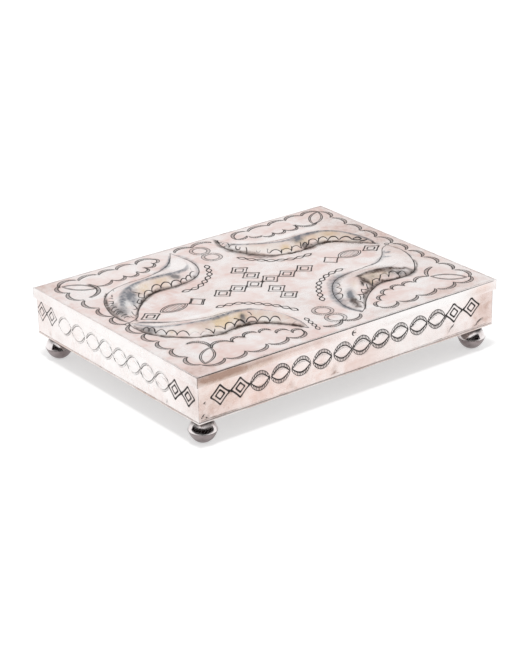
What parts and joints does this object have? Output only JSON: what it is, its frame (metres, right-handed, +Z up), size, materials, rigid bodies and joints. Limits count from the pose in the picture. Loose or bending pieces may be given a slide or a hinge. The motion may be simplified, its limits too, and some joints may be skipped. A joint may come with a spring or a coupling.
{
  "type": "hinged metal box",
  "caption": "Low rectangular silver box: hinged overlapping lid with four raised S-shaped leaves, sheet walls and ball feet.",
  "frame": {"origin": "on the surface that the feet stand on, under the middle of everything the box reaches, hinge and lid bead included", "axes": "+Z up; X along the long side, +X to the right as seen from the front; the front is at -Y and the hinge at +Y"},
  "size_m": [0.159, 0.123, 0.0359],
  "materials": {
    "sheet_silver": "hand polished silver sheet with a warm tarnish, stamped and oxidised in the marks",
    "polished_silver": "bright polished silver, lightly worn",
    "tube_silver": "silver tube and wire, dull where it is soldered"
  },
  "bodies": {
    "case": {"wall_front": "sheet_silver", "wall_right": "sheet_silver", "wall_back": "sheet_silver", "wall_left": "sheet_silver", "bottom_plate": "sheet_silver", "foot_front_left_upper": "polished_silver", "foot_front_left_lower": "polished_silver", "foot_front_right_upper": "polished_silver", "foot_front_right_lower": "polished_silver", "foot_back_left_upper": "polished_silver", "foot_back_left_lower": "polished_silver", "foot_back_right_upper": "polished_silver", "foot_back_right_lower": "polished_silver", "hinge_knuckle_case_1": "tube_silver", "hinge_knuckle_case_2": "tube_silver", "hinge_knuckle_case_3": "tube_silver", "hinge_pin": "tube_silver"},
    "lid": {"lid_plate": "sheet_silver", "lid_rim_front": "sheet_silver", "lid_rim_right": "sheet_silver", "lid_rim_back": "sheet_silver", "lid_rim_left": "sheet_silver", "hinge_knuckle_lid_1": "tube_silver", "hinge_knuckle_lid_2": "tube_silver"}
  },
  "joints": [
    {"name": "lid_hinge", "type": "hinge", "parent": "case", "child": "lid", "pos_m": [0, 0.05998, 0.02596], "axis": [-1, 0, 0], "range_deg": [0, 100]}
  ]
}
